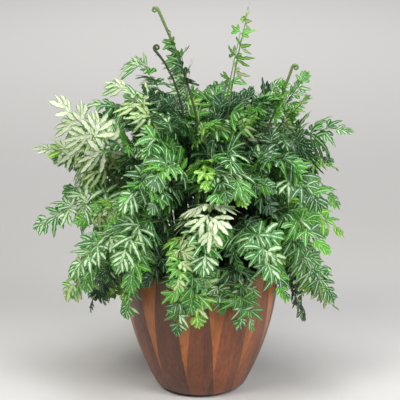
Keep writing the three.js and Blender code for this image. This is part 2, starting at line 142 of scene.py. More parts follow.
room.color_ramp.elements[1].position = HORIZON + 0.2
room.color_ramp.elements[1].color = ROOM_GREY
links.new(split.outputs["Z"], room.inputs["Fac"])
links.new(room.outputs["Color"], nodes["Background"].inputs["Color"])
bpy.context.scene.world = world


# How the plant grows. The stalks stand in rings on the soil, and each takes the first free room near the
# place that it is meant for: turned aside, higher or lower, or smaller. Sizes are in millimetres.
SOIL_TOP = 152
STEM_DEPTH = 22
POT_HEIGHT = 172
RIM_RADIUS = 102
HEEL_RADIUS = 54
WALL = 9
BELLY_POWER = 2.25
# Root is where a stalk stands, and reach and rise are how far off and how high its tip is. It leaves the
# soil by lean and lift, and comes to its tip at the angle droop with the strength of pull. The two fronds of
# a tuft are fork degrees apart, the second a rung higher. Face and roll turn the blade; coil is the radius
# of a coiled tip.
# name, count, root, reach, rise, lean, lift, droop, pull, blade, face, first, step, fork, rung, leaves
TIERS = (
    ("rim_frond", 12, 74, 58, -34, 14, 70, 84, 84, 76, 8, 262, 30, 0, 0, "short"),
    ("low_fronds", 5, 62, 104, -4, 20, 94, 70, 90, 98, 36, 286, 72, 36, 26, "forked"),
    ("side_fronds", 5, 50, 136, 52, 26, 112, 60, 92, 104, 44, 250, 72, 36, 28, "forked"),
    ("middle_fronds", 5, 38, 146, 110, 26, 122, 42, 92, 106, 44, 286, 72, 36, 28, "forked"),
    ("high_fronds", 4, 27, 136, 168, 22, 130, 18, 88, 104, 44, 300, 90, 44, 28, "forked"),
    ("crown_fronds", 3, 15, 100, 222, 16, 126, -22, 80, 100, 44, 250, 120, 56, 20, "forked"),
)
TIER_TONES = ("green", "silver", "green", "dark")
# name, root, tip, lean, lift, droop, pull, roll, blade, tone, leaves, coil
SINGLES = (
    ("cream_frond_left", (-38, -14), (-180, -42, 388), 30, 92, -40, 88, -62, 92, "cream", "full", 0),
    ("lime_frond_left", (-52, -2), (-208, -14, 318), 34, 108, 6, 96, -44, 96, "lime", "forked", 0),
    ("pale_frond_left", (-60, -16), (-211, -34, 220), 30, 110, 38, 92, -40, 98, "silver", "forked", 0),
    ("pale_frond_low_left", (-54, -44), (-160, -120, 186), 26, 96, 44, 90, -34, 94, "silver", "forked", 0),
    ("hanging_frond_left", (-70, -12), (-172, -48, 134), 18, 96, 58, 88, -34, 88, "lime", "forked", 0),
    ("silver_frond_right", (46, 2), (193, -12, 342), 30, 118, 14, 94, 48, 100, "silver", "forked", 0),
    ("lime_frond_right", (64, -8), (184, -36, 216), 28, 104, 30, 84, 34, 88, "lime", "forked", 0),
    ("dark_frond_right", (48, 24), (176, 66, 288), 30, 112, 8, 84, 30, 90, "dark", "forked", 0),
    ("hanging_frond_right", (70, -20), (168, -66, 134), 18, 98, 56, 88, 34, 90, "silver", "forked", 0),
    ("cream_frond_front", (2, -50), (12, -176, 236), 24, 122, 66, 92, 6, 92, "cream", "full", 0),
    ("cream_frond_front_right", (26, -54), (84, -162, 192), 22, 104, 74, 90, 12, 86, "cream", "full", 0),
    ("cream_frond_high", (20, 6), (104, 22, 402), 14, 132, -38, 84, 42, 92, "cream", "forked", 0),
    ("pale_frond_high_left", (-20, 6), (-112, -6, 408), 14, 130, -30, 84, -46, 92, "lime", "forked", 0),
    ("folded_frond_right", (30, 26), (138, 66, 402), 20, 134, -52, 84, 40, 60, "dark", "forked", 0),
    ("fiddlehead_tall", (6, 12), (-54, 16, 494), -8, 170, -66, 110, 26, 104, "dark", "small", 4),
    ("whorled_frond_left", (14, 8), (54, 28, 480), 4, 150, -76, 140, 30, 80, "lime", "whorls", 0),
    ("whorled_frond_right", (22, -18), (60, -26, 506), 4, 160, -77, 150, 30, 84, "lime", "whorls", 0),
    ("crozier_left", (-12, -4), (-58, -6, 446), 4, 160, -48, 70, 0, 24, "dark", "bare", -4),
    ("crozier_right", (30, -6), (114, -32, 430), 16, 130, -72, 90, 20, 66, "dark", "small", 4),
)
# By the kind of leaves: the half breadth of the blade as a share of its length, how far its edges hang as a
# share of that, and the breadth of the solids' lobes as a share of its length.
BREADTHS = {"full": 0.43, "forked": 0.38, "short": 0.43, "small": 0.21, "whorls": 0.29, "bare": 0.2}
CAMBERS = {"full": 0.3, "forked": 0.3, "short": 0.18, "small": 0.2, "whorls": 0.2, "bare": 0.1}
ROOM_WIDTHS = {"full": 0.094, "forked": 0.106, "short": 0.13, "small": 0.053, "whorls": 0.045, "bare": 0.16}

wanted = []
for name, root, tip, lean, lift, droop, pull, roll, blade, tone, leaves, coil in SINGLES:
    dx, dy = tip[0] - root[0], tip[1] - root[1]
    wanted.append({
        "name": name, "root": math.hypot(*root), "ring": math.degrees(math.atan2(root[1], root[0])),
        "heading": math.degrees(math.atan2(dy, dx)), "reach": math.hypot(dx, dy), "sweep": 0,
        "rise": tip[2] - SOIL_TOP, "lean": lean, "lift": lift, "droop": droop, "pull": pull,
        "roll": math.radians(roll), "blade": blade, "tone": tone, "leaves": leaves, "coil": coil,
        "second": False,
    })

DRAW_RANGE = 2**32
seed = 16


def draw(low, high):
    global seed
    seed = (seed * 1664525 + 1013904223) % DRAW_RANGE
    return low + ((high - low) * seed) / DRAW_RANGE


tuft = 0
for tier in TIERS:
    name, count, root, reach, rise, lean, lift, droop = tier[:8]
    pull, blade, face, first, step, fork, rung, leaves = tier[8:]
    for i in range(count):
        ring = first + i * step + draw(-6, 6)
        ring_root = root + draw(-4, 2)
        for side in (-0.5, 0.5) if fork else (0,):
            heading = ring + side * fork + draw(-7, 7)
            # how far the blade faces the front: most in front, turned away behind
            front = max(-1, min(1, 0.45 - 1.2 * math.sin(math.radians(heading))))
            frond = {"name": f"{name}_{i + 1}", "ring": ring, "heading": heading, "root": ring_root}
            frond["second"] = side > 0
            frond["reach"] = reach * draw(0.92, 1.06)
            frond["rise"] = rise + (side + 0.5) * rung + draw(-10, 10)
            frond["droop"] = droop + draw(-9, 9)
            frond["sweep"] = draw(-16, 16)
            frond["roll"] = math.radians(face * front * math.cos(math.radians(heading)) + draw(-16, 16))
            frond["blade"] = blade * draw(0.92, 1.05)
            frond["tone"] = TIER_TONES[tuft % len(TIER_TONES)]
            wanted.append({**frond, "lean": lean, "lift": lift, "pull": pull, "leaves": leaves, "coil": 0})
        tuft += 1


MIDRIB_STEPS = 40
COIL_STEPS = 12
COIL_HALF_TURNS = 2.4
COIL_SHRINK = 0.72
TWIST_START = 0.25  # of the stalk, which twists from here to the blade


def unit(v):
    return v / np.sqrt((v * v).sum(axis=-1, keepdims=True))


def shape_midrib(frond):
    """The frond with its midrib: points from the soil to the tip, and their lengths along it."""
    down = math.radians(frond["droop"])
    ends = np.array([
        [0, 0, 0],
        [frond["lean"], 0, frond["lift"]],
        [
            frond["reach"] - frond["pull"] * math.cos(down),
            frond["sweep"] * 0.4,
            frond["rise"] + frond["pull"] * math.sin(down),
        ],
        [frond["reach"], frond["sweep"], frond["rise"]],
    ], float)
    t = (np.arange(MIDRIB_STEPS + 1) / MIDRIB_STEPS)[:, None]
    points = (1 - t) ** 3 * ends[0] + 3 * (1 - t) ** 2 * t * ends[1]
    points = points + 3 * (1 - t) * t**2 * ends[2] + t**3 * ends[3]
    if frond["coil"]:
        along = np.array([math.cos(down), 0, -math.sin(down)])
        inward = np.array([along[2], 0, -along[0]]) * np.sign(frond["coil"])
        centre = points[-1] + inward * abs(frond["coil"])
        share = (np.arange(1, COIL_STEPS + 1) / COIL_STEPS)[:, None]
        turn = share * COIL_HALF_TURNS * math.pi
        r = abs(frond["coil"]) * (1 - COIL_SHRINK * share)
        points = np.vstack([points, centre - inward * r * np.cos(turn) + along * r * np.sin(turn)])
    steps = np.sqrt((np.diff(points, axis=0) ** 2).sum(axis=1))
    lengths = np.concatenate([[0], np.cumsum(steps)])
    arch = lengths[MIDRIB_STEPS]
    start = arch - frond["blade"]
    half = BREADTHS[frond["leaves"]] * frond["blade"]
    return {**frond, "points": points, "lengths": lengths, "arch": arch, "start": start, "half": half}


def on_blade(frond, s, w, h=0.0):
    """Points in the frond's frame: s along the midrib, w to its left, h out of the face."""
    s, w, h = np.broadcast_arrays(np.asarray(s, float), w, h)
    points, lengths = frond["points"], frond["lengths"]
    i = np.clip(np.searchsorted(lengths, s), 1, len(lengths) - 1)
    share = ((s - lengths[i - 1]) / (lengths[i] - lengths[i - 1]))[..., None]
    at = points[i - 1] + (points[i] - points[i - 1]) * share
    before = unit(points[i] - points[i - 1])
    after = unit(points[np.minimum(len(points) - 1, i + 1)] - points[i - 1])
    along = unit(before + (after - before) * share)
    level = unit(np.array([0.0, 1.0, 0.0]) - along * along[..., 1:2])
    face = np.cross(along, level)
    turn = np.clip((s - TWIST_START * frond["start"]) / ((1 - TWIST_START) * frond["start"]), 0, 1)
    twist = (frond["roll"] * turn * turn * (3 - 2 * turn))[..., None]
    side = level * np.cos(twist) + face * np.sin(twist)
    up = face * np.cos(twist) - level * np.sin(twist)
    # In the soil the stalk is straight.
    under = s <= 0
    at[under] = np.stack([0 * s[under], 0 * s[under], s[under]], axis=-1)
    side[under] = (0, 1, 0)
    up[under] = (-1, 0, 0)
    fall = CAMBERS[frond["leaves"]] * frond["half"] * (w / frond["half"]) ** 2
    return at + side * w[..., None] + up * (h - fall)[..., None]


def stand(frond, points):
    """From the frond's frame to the plant's."""
    c, s = math.cos(frond["azimuth"]), math.sin(frond["azimuth"])
    x = points[..., 0] * c - points[..., 1] * s + frond["x"]
    y = points[..., 0] * s + points[..., 1] * c + frond["y"]
    return np.stack([x, y, points[..., 2] + SOIL_TOP], axis=-1)


CELL = 2.3  # of the grid that keeps account of the room taken
CELL_SHIFT = 0.29
GRID = (260, 260, 380)
GRID_OFFSET = 125
STEP = 2  # between the points that stand for a frond
FORK_LENGTH = 60  # of the foot of a tuft, where its two stalks stand close to each other
BLADE_FOOT = 0.12  # the share of its length that a blade's lowest lobes reach back along the stalk
BROADEST = 0.25


def room_of(frond, mate):
    """Points all over a frond: along its stalk and across its blade."""
    s, w = [], []
    for at in np.arange(FORK_LENGTH if mate else -STEM_DEPTH, frond["lengths"][-1], STEP):
        share = (at - frond["start"]) / frond["blade"]
        reach = 0
        if -BLADE_FOOT < share < 1:
            if share < BROADEST:
                breadth = min(1, (share + BLADE_FOOT) / 0.14)
            else:
                breadth = ((1 - share) / (1 - BROADEST)) ** 0.8
            reach = max(0.6 * ROOM_WIDTHS[frond["leaves"]] * frond["blade"], frond["half"] * breadth)
        across = np.arange(-math.floor(reach / STEP) * STEP, reach + 1e-9, STEP)
        s.extend([at] * len(across))
        w.extend(across)
    return on_blade(frond, np.array(s), np.array(w))


def pot_radius(z):
    """The outside of the pot at the height z."""
    swell = 1 - (1 - (0.9 * z) / POT_HEIGHT) ** BELLY_POWER
    return HEEL_RADIUS + ((RIM_RADIUS - HEEL_RADIUS) * swell) / (1 - 0.1**BELLY_POWER)


WALL_CLEARANCE = 3


def in_wall(points):
    """Whether any of the points is in the pot's wall or close to it."""
    z = points[:, 2]
    r = np.hypot(points[:, 0], points[:, 1])
    near = z < POT_HEIGHT + WALL_CLEARANCE
    near &= r > pot_radius(np.clip(z, 0, POT_HEIGHT + 4)) - WALL - WALL_CLEARANCE
    near &= r < pot_radius(np.clip(z, 0, POT_HEIGHT)) + WALL_CLEARANCE
    return near.any()


SHRINKS = (1, 0.9, 0.8, 0.7, 0.6, 0.5)
LIFTS = (0, 8, -8, 16, -16, 24, -24)
TURNS = (0, 4, -4, 8, -8, 12, -12, 16, -16, 20, -20, 25, -25, 30, -30, 36, -36, 43, -43, 50, -50)
taken = np.zeros(GRID, bool)


def grow(frond, mate):
    """The frond in the first free room, or None. The second one of a tuft stands on its mate's foot."""
    for shrink in SHRINKS:
        for lift in LIFTS:
            tried = {**frond, "blade": frond["blade"] * shrink, "rise": frond["rise"] + lift, "mate": mate}
            tried = shape_midrib(tried)
            room = room_of(tried, mate)
            for turn in TURNS:
                ring = math.radians(frond["ring"] + turn)
                tried["azimuth"] = math.radians(frond["heading"] + turn)
                tried["x"] = mate["x"] if mate else frond["root"] * math.cos(ring)
                tried["y"] = mate["y"] if mate else frond["root"] * math.sin(ring)
                points = stand(tried, room)
                if in_wall(points):
                    continue
                cells = np.floor(points / CELL + CELL_SHIFT).astype(int) + GRID_OFFSET
                if taken[cells[:, 0], cells[:, 1], cells[:, 2]].any():
                    continue
                for a in (-1, 0, 1):
                    for b in (-1, 0, 1):
                        for c in (-1, 0, 1):
                            taken[cells[:, 0] + a, cells[:, 1] + b, cells[:, 2] + c] = True
                return tried
    return None


fronds = []
for frond in wanted:
    first_of_tuft = [one for one in fronds if not one["mate"]][-1] if frond["second"] else None
    placed = grow(frond, first_of_tuft)
    if placed:
        fronds.append(placed)

# The leaf pattern: sixteen squares of the leaf map, each of which is one lobe seen from above, from its
# foot to its tip, in a tone of its own. A pale band runs along the midrib, and the margin is green; veins
# cross both. The last two squares are stalks.
SQUARES = 4  # along each side of the map
HALF_LOBE = 0.44  # of its square
LOBE_FOOT = 0.06
LOBE_LENGTH = 0.88
STALK_CELL = 14
YOUNG_STALK_CELL = 15
MARGIN_GREEN = (0.25, 0.56, 0.04)
RIB_GREEN = (0.36, 0.50, 0.16)
VEIN_GREEN = (0.02, 0.08, 0.02)
pattern = bpy.data.node_groups.new("fern_leaf_pattern", "ShaderNodeTree")
pattern.interface.new_socket("Colour", in_out="OUTPUT", socket_type="NodeSocketColor")
pattern.interface.new_socket("Height", in_out="OUTPUT", socket_type="NodeSocketFloat")
nodes, links = pattern.nodes, pattern.links
leaf_out = nodes.new("NodeGroupOutput")


def math_node(operation, *inputs, clamp=False):
    node = nodes.new("ShaderNodeMath")
    node.operation = operation
    node.use_clamp = clamp
    for socket, value in zip(node.inputs, inputs):
        if isinstance(value, (int, float)):
            socket.default_value = value
        else:
            links.new(value, socket)
    return node.outputs[0]


def ramp_node(factor, stops, interpolation="CONSTANT"):
    node = nodes.new("ShaderNodeValToRGB")
    ramp = node.color_ramp
    ramp.interpolation = interpolation
    while len(ramp.elements) < len(stops):
        ramp.elements.new(0.5)
    for element, (position, colour) in zip(ramp.elements, stops):
        element.position = position
        element.color = (*colour, 1)
    links.new(factor, node.inputs["Fac"])
    return node.outputs["Color"]


def mix_node(factor, a, b, blend="MIX"):
    node = nodes.new("ShaderNodeMix")
    node.data_type = "RGBA"
    node.blend_type = blend
    for socket, value in zip((node.inputs[0], node.inputs[6], node.inputs[7]), (factor, a, b)):
        if isinstance(value, (int, float)):
            socket.default_value = value
        elif isinstance(value, tuple):
            socket.default_value = (*value, 1)
        else:
            links.new(value, socket)
    return node.outputs[2]


def ease_node(value, start, width):
    """0 up to start, 1 from start + width."""
    return math_node("DIVIDE", math_node("SUBTRACT", value, start), width, clamp=True)


def noise_node(vector, scale, detail=2, roughness=0.5):
    node = nodes.new("ShaderNodeTexNoise")
    node.inputs["Scale"].default_value = scale
    node.inputs["Detail"].default_value = detail
    node.inputs["Roughness"].default_value = roughness
    links.new(vector, node.inputs["Vector"])
    return node.outputs["Fac"]


def bump_node(height, strength, distance):
    node = nodes.new("ShaderNodeBump")
    node.inputs["Strength"].default_value = strength
    node.inputs["Distance"].default_value = distance
    links.new(height, node.inputs["Height"])
    return node.outputs["Normal"]


place = nodes.new("ShaderNodeUVMap")
place.uv_map = "OFBake"
split = nodes.new("ShaderNodeSeparateXYZ")
links.new(place.outputs["UV"], split.inputs[0])
column = math_node("MULTIPLY", split.outputs["X"], SQUARES)
row = math_node("MULTIPLY", split.outputs["Y"], SQUARES)
which = math_node("MULTIPLY_ADD", math_node("FLOOR", row), SQUARES, math_node("FLOOR", column))
which = math_node("DIVIDE", math_node("ADD", which, 0.5), SQUARES**2)
across = math_node("DIVIDE", math_node("SUBTRACT", math_node("FRACT", column), 0.5), HALF_LOBE)
side = math_node("ABSOLUTE", across, clamp=True)
along = ease_node(math_node("FRACT", row), LOBE_FOOT, LOBE_LENGTH)

# the lamina, the pale band, and three numbers: half the width of the band, how bright the margin is and how
# clear the veins are; for a stalk, its colour at the foot and at the blade
TONES = (
    ((0.018, 0.084, 0.030), (0.36, 0.56, 0.34), (0.20, 0.3, 0.5)),
    # square 1, the darkest, is painted shade for fronds deep inside the bush
    ((0.012, 0.054, 0.022), (0.20, 0.36, 0.19), (0.14, 0.1, 0.4)),
    ((0.024, 0.114, 0.032), (0.44, 0.64, 0.38), (0.17, 0.4, 0.5)),
    ((0.034, 0.215, 0.032), (0.50, 0.72, 0.30), (0.13, 0.8, 0.5)),
    ((0.026, 0.165, 0.040), (0.46, 0.65, 0.36), (0.22, 0.6, 0.6)),
    ((0.062, 0.300, 0.034), (0.50, 0.74, 0.24), (0.12, 1.0, 0.5)),
    ((0.032, 0.156, 0.038), (0.50, 0.66, 0.41), (0.42, 0.5, 0.7)),
    ((0.040, 0.170, 0.040), (0.52, 0.68, 0.40), (0.54, 0.5, 0.7)),
    ((0.080, 0.220, 0.050), (0.70, 0.74, 0.56), (0.80, 0.6, 0.7)),
    ((0.070, 0.200, 0.050), (0.62, 0.69, 0.47), (0.74, 0.5, 0.8)),
    ((0.090, 0.260, 0.050), (0.56, 0.67, 0.34), (0.64, 0.6, 0.7)),
    ((0.150, 0.420, 0.030), (0.58, 0.76, 0.26), (0.24, 0.9, 0.4)),
    ((0.210, 0.500, 0.040), (0.64, 0.80, 0.32), (0.34, 0.9, 0.4)),
    ((0.088, 0.340, 0.034), (0.50, 0.70, 0.24), (0.28, 0.8, 0.5)),
    ((0.030, 0.022, 0.014), (0.050, 0.080, 0.025), (0.5, 0.5, 0.0)),
    ((0.060, 0.060, 0.020), (0.160, 0.260, 0.070), (0.5, 0.5, 0.0)),
)
lamina, band, shape = (
    ramp_node(which, [(k / SQUARES**2, tone[i]) for k, tone in enumerate(TONES)]) for i in range(3)
)
shape_parts = nodes.new("ShaderNodeSeparateColor")
links.new(shape, shape_parts.inputs[0])
width, bright, vein = shape_parts.outputs

# The side veins leave the midrib slantwise, and the edge of the pale band follows them.
phase = math_node("MULTIPLY_ADD", along, 78.0, math_node("MULTIPLY", side, -7.0))
veins = math_node("MULTIPLY_ADD", math_node("SINE", phase), 0.5, 0.5)
feather = math_node("MULTIPLY", math_node("SUBTRACT", veins, 0.5), 0.14)
tapered = math_node("MULTIPLY", width, math_node("MULTIPLY_ADD", along, -0.22, 1.08))
pale = ease_node(math_node("ADD", math_node("ADD", tapered, feather), 0.07), side, 0.14)
mottle = noise_node(place.outputs["UV"], 60, detail=3)
mottle = ramp_node(mottle, [(0.3, (0.78, 0.78, 0.78)), (0.7, (1.2, 1.2, 1.2))], "LINEAR")
margin = math_node("MAXIMUM", ease_node(side, 0.62, 0.38), ease_node(along, 0.80, 0.20))
margin = math_node("MULTIPLY", math_node("MULTIPLY", margin, bright), 0.65)
colour = mix_node(pale, mix_node(margin, lamina, MARGIN_GREEN), band)
rib = math_node("MULTIPLY", ease_node(0.10, side, 0.06), math_node("SUBTRACT", 1.0, along))
colour = mix_node(math_node("MULTIPLY", rib, 0.45), colour, RIB_GREEN)
colour = mix_node(1, colour, mottle, "MULTIPLY")
dark_vein = math_node("MULTIPLY", math_node("MULTIPLY", veins, vein), 0.35)
colour = mix_node(math_node("MULTIPLY", dark_vein, side), colour, VEIN_GREEN)
stalk = mix_node(along, lamina, band)
is_stalk = math_node("GREATER_THAN", which, STALK_CELL / SQUARES**2)
links.new(mix_node(is_stalk, colour, stalk), leaf_out.inputs["Colour"])
ridge = math_node("MULTIPLY", math_node("SUBTRACT", 1.0, veins), math_node("SUBTRACT", 1.0, side))
links.new(math_node("MULTIPLY_ADD", rib, 1.5, ridge), leaf_out.inputs["Height"])

leaf = bpy.data.materials.new("fern_leaf")
leaf.use_nodes = True
nodes, links = leaf.node_tree.nodes, leaf.node_tree.links
shader = nodes["Principled BSDF"]
drawn = nodes.new("ShaderNodeGroup")
drawn.node_tree = pattern
links.new(drawn.outputs["Colour"], shader.inputs["Base Color"])
shader.inputs["Roughness"].default_value = 0.42
links.new(bump_node(drawn.outputs["Height"], 0.35, 0.0003), shader.inputs["Normal"])
# Some of the light comes through the leaf.
through = nodes.new("ShaderNodeBsdfTranslucent")
links.new(drawn.outputs["Colour"], through.inputs["Color"])
both = nodes.new("ShaderNodeMixShader")
both.inputs["Fac"].default_value = 0.22
links.new(shader.outputs["BSDF"], both.inputs[1])
links.new(through.outputs["BSDF"], both.inputs[2])
links.new(both.outputs["Shader"], nodes["Material Output"].inputs["Surface"])


# The fronds. Each is drawn flat first, a stalk with pairs of hands whose fingers are toothed lobes, and
# then laid on its arched midrib. Each lobe is one sheet with one square of the leaf pattern. Younger and
# smaller fronds come from the same feet and fill the bush between and below its outer ones.
CELLS = {
    "dark": (0, 2, 2, 3, 6),
    "green": (3, 4, 5, 2, 6, 3),
    "silver": (6, 7, 4, 3),
    "cream": (8, 9),
    "lime": (11, 13, 5, 10),
}
# fronds with a shade of their own
SHADES = {
    "lime_frond_left": (10, 9, 10, 11),
    "pale_frond_left": (6, 7, 4),
    "hanging_frond_left": (10, 6, 13),
    "hanging_frond_right": (4, 2, 6),
    "silver_frond_right": (2, 6, 0, 4),
    "lime_frond_right": (11, 13, 5),
    "cream_frond_front_right": (6, 7, 4),
    "cream_frond_high": (9, 7, 6),
    "pale_frond_high_left": (10, 7, 6, 9),
    "folded_frond_right": (3, 6),
    "whorled_frond_left": (5, 13, 3),
    "crozier_right": (13, 5),
}
# Painted shade: fronds deep inside the bush get the darkest leaf squares, for the shade there.
SHADED_DEEP_CELLS = (0, 1)  # deep inside the bush
ACROSS = np.array([-1, -0.5, 0, 0.5, 1])
ROW_LENGTH = 2.1
NECK = 0.26  # of a lobe's full width
TEETH = 0.26
# Where a pair of hands leaves the midrib, its reach and its angle, and its fingers: where, length and turn.
# An angle of 0 is the single hand at the tip. Reaches are shares of the blade, and lengths of the reach.
HANDS = {
    "full": (
        (0.00, 0.46, 66, ((0.05, 0.64, 72), (0.20, 0.66, 50), (0.38, 0.56, 36))),
        (0.28, 0.42, 58, ((0.06, 0.62, 68), (0.22, 0.64, 48), (0.42, 0.52, 34))),
        (0.54, 0.34, 50, ((0.10, 0.64, 58), (0.32, 0.58, 38))),
        (0.72, 0.30, 0, ((0.06, 0.74, 56), (0.30, 0.66, 42))),
    ),
    "forked": (
        (0.00, 0.42, 66, ((0.03, 0.46, 78), (0.14, 0.56, 54), (0.32, 0.54, 36))),
        (0.23, 0.39, 60, ((0.04, 0.46, 74), (0.16, 0.56, 50), (0.36, 0.50, 34))),
        (0.44, 0.34, 53, ((0.06, 0.50, 64), (0.26, 0.54, 42))),
        (0.62, 0.28, 46, ((0.12, 0.56, 48),)),
        (0.75, 0.28, 0, ((0.06, 0.60, 62), (0.24, 0.60, 44), (0.48, 0.42, 32))),
    ),
    "small": (
        (0.00, 0.24, 66, ((0.10, 0.58, 62), (0.34, 0.52, 44))),
        (0.11, 0.23, 64, ((0.10, 0.58, 62), (0.34, 0.52, 44))),
        (0.22, 0.22, 62, ((0.10, 0.58, 62), (0.34, 0.52, 44))),
        (0.33, 0.20, 60, ((0.10, 0.60, 58), (0.34, 0.50, 44))),
        (0.44, 0.17, 56, ((0.10, 0.60, 56),)),
        (0.55, 0.14, 54, ((0.10, 0.60, 56),)),
        (0.64, 0.09, 52, ()),
    ),
    "whorls": (
        (0.00, 0.32, 82, ((0.10, 0.56, 46),)),
        (0.38, 0.31, 78, ((0.10, 0.56, 44),)),
        (0.76, 0.25, 68, ((0.10, 0.60, 44),)),
        (0.90, 0.13, 0, ()),
    ),
    "bare": ((0.62, 0.30, 60, ()), (0.86, 0.26, 50, ())),
}
HANDS["short"] = HANDS["forked"]
FINGER_WIDTHS = {"full": 7.6, "forked": 6.6, "short": 6.4, "small": 5.6, "whorls": 5.2, "bare": 4.4}
STALK_SIDES = 6
UPRIGHT = 150  # fronds that rise higher stand up and are looser
FRINGE = 100  # no younger frond hangs lower
YOUNG_TRIES = 9
SHORTEST_STALK = 20
rng = np.random.default_rng(11)


def spread(amount):
    return rng.uniform(-amount, amount)


class Plate:
    """A frond drawn flat: rows of points across each lobe, with their places in the leaf pattern."""

    def __init__(self, frond):
        self.frond = frond
        self.points = []
        self.places = []
        self.faces = []
        self.count = 0

    def strip(self, rows, cell, across, along, closed=False):
        """Joins rows of points to a sheet, or to a tube if closed, painted with one leaf square."""
        first = self.count
        high, wide = rows.shape[:2]
        self.count += high * wide
        self.points.append(rows.reshape(-1, 3))
        column, row = cell % SQUARES, cell // SQUARES
        u = np.broadcast_to((column + 0.5 + across) / SQUARES, (high, wide))
        v = np.broadcast_to((row + LOBE_FOOT + LOBE_LENGTH * along[:, None]) / SQUARES, (high, wide))
        self.places.append(np.stack([u, v], axis=-1).reshape(-1, 2))
        i, j = np.meshgrid(np.arange(high - 1), np.arange(wide - 1 + closed), indexing="ij")
        a = first + i * wide + j
        b = first + i * wide + (j + 1) % wide
        self.faces.append(np.stack([a, b, b + wide, a + wide], axis=-1).reshape(-1, 4))

    def lobe(self, start, heading, length, width, cell, long=False, curl=0.0, tilt=0.0, sag=0.0, bank=0.0):
        """A toothed finger from start, (s, w, h), with a narrow foot and a fine tip."""
        count = max(6, round(length / ROW_LENGTH))
        t = np.linspace(0, 1, count + 1)
        turn = heading + curl * t**1.5
        step = length / count
        s = start[0] + np.concatenate([[0], np.cumsum(np.cos(turn[1:]))]) * step
        w = start[1] + np.concatenate([[0], np.cumsum(np.sin(turn[1:]))]) * step
        h = start[2] + length * (tilt * t - sag * t**2)
        # from a narrow neck to the full width, and from there to the tip
        swell = np.clip(t / (0.34 if long else 0.5), 0, 1)
        half = NECK + (1 - NECK) * swell * swell * (3 - 2 * swell)
        half *= 1 - (0.24 if long else 0.0) * t
        taper = 0.76 if self.frond["leaves"] == "full" else 0.58
        half *= 1 - 0.90 * np.clip((t - taper) / (1 - taper), 0, 1) ** 2.2
        half *= width / 2
        # Both margins swing in and out, each in its own time.
        wave = TEETH * np.sin(t[:, None] * length * 0.9 + rng.uniform(0, 6, 2)) * (1 - t[:, None] ** 4)
        x = ACROSS[None, :] * (1 + np.where(ACROSS < 0, wave[:, :1], wave[:, 1:]))
        crisp = 0.18 * np.sin(t * length * 0.62 + rng.uniform(0, 6))[:, None] * np.sign(x) * x * x
        # The lobe is folded a little along its midrib, and its margins level out.
        raised = half[:, None] * (0.34 * (np.abs(x) - 0.55 * x * x) + crisp + bank * x)
        rows = np.stack([
            s[:, None] - np.sin(turn)[:, None] * half[:, None] * x,
            w[:, None] + np.cos(turn)[:, None] * half[:, None] * x,
            h[:, None] + raised,
        ], axis=-1)
        self.strip(rows, cell, HALF_LOBE * ACROSS, t)
        return s, w, h, turn

    def hand(self, s, w, way, reach, angle, fingers, width, cells):
        """A long finger that ends the hand, and pairs of shorter ones that spread from its foot."""
        upright = 1.7 if self.frond["rise"] > UPRIGHT else 1.0
        loose = {"small": 2.2, "whorls": 1.4, "full": 0.7}.get(self.frond["leaves"], upright)
        heading = way * math.radians(angle + spread(10))
        # how the hand stands out of the blade, how far its tip sags and how far it leans over
        tilt, sag, bank = 0.08 + spread(0.30) * loose, 0.20 + spread(0.18), spread(0.7) * loose
        cell = rng.choice(cells)
        line = self.lobe(
            (s, w, 0.2), heading, reach, width * 1.06, cell, long=True,
            curl=-way * (0.12 + spread(0.28)), tilt=tilt, sag=sag, bank=bank,
        )
        for where, share, turn in fingers:
            i = round(where * (len(line[0]) - 1))
            at = (line[0][i], line[1][i], line[2][i])
            for side in (1, -1):
                # Fingers on the lower side are longer than those towards the frond's tip.
                length = reach * share * (1.1 if side == way else 0.92) * (1 + spread(0.16))
                off = side * math.radians(turn + spread(10))
                self.lobe(
                    at, line[3][i] + off, length, width * (0.98 + spread(0.10)),
                    rng.choice(cells) if rng.random() < 0.25 else cell,
                    curl=-side * (0.25 + spread(0.28)), tilt=tilt + bank * math.sin(off) + spread(0.16),
                    sag=sag + spread(0.14), bank=bank * math.cos(off) + spread(0.2),
                )

    def stalk(self, s, radius, cell):
        """A round stalk along the midrib."""
        round_ = np.linspace(0, 2 * math.pi, STALK_SIDES, endpoint=False)
        rows = np.stack([
            np.broadcast_to(s[:, None], (len(s), STALK_SIDES)),
            radius[:, None] * np.cos(round_),
            radius[:, None] * np.sin(round_),
        ], axis=-1)
        self.strip(rows, cell, 0.4 * np.cos(round_ / 2), np.linspace(0, 1, len(s)), closed=True)


def younger(frond, deep):
    """A smaller frond from the foot of another one, or None where it would touch the pot or hang low."""
    upright = frond["rise"] > UPRIGHT
    # Deep ones are short and hang low; the others stand close to the frond that they come from.
    for _ in range(YOUNG_TRIES):
        turn = spread(60 if deep else 44)
        young = {
            **frond,
            "azimuth": frond["azimuth"] + math.radians(turn),
            "reach": frond["reach"] * (rng.uniform(0.35, 0.7) if deep else rng.uniform(0.65, 0.96)),
            "rise": frond["rise"] + (rng.uniform(-44, -6) if deep or upright else rng.uniform(-26, 12)),
            "sweep": spread(22),
            "roll": frond["roll"] + spread(0.5),
            "droop": frond["droop"] + spread(14),
            "blade": rng.uniform(50, 82),
            "leaves": "forked",
            "coil": 0,
            "deep": deep,
        }
        young = shape_midrib(young)
        if young["start"] < SHORTEST_STALK:
            continue
        points = stand(young, room_of(young, young))
        if not in_wall(points) and points[:, 2].min() > FRINGE:
            return young
    return None


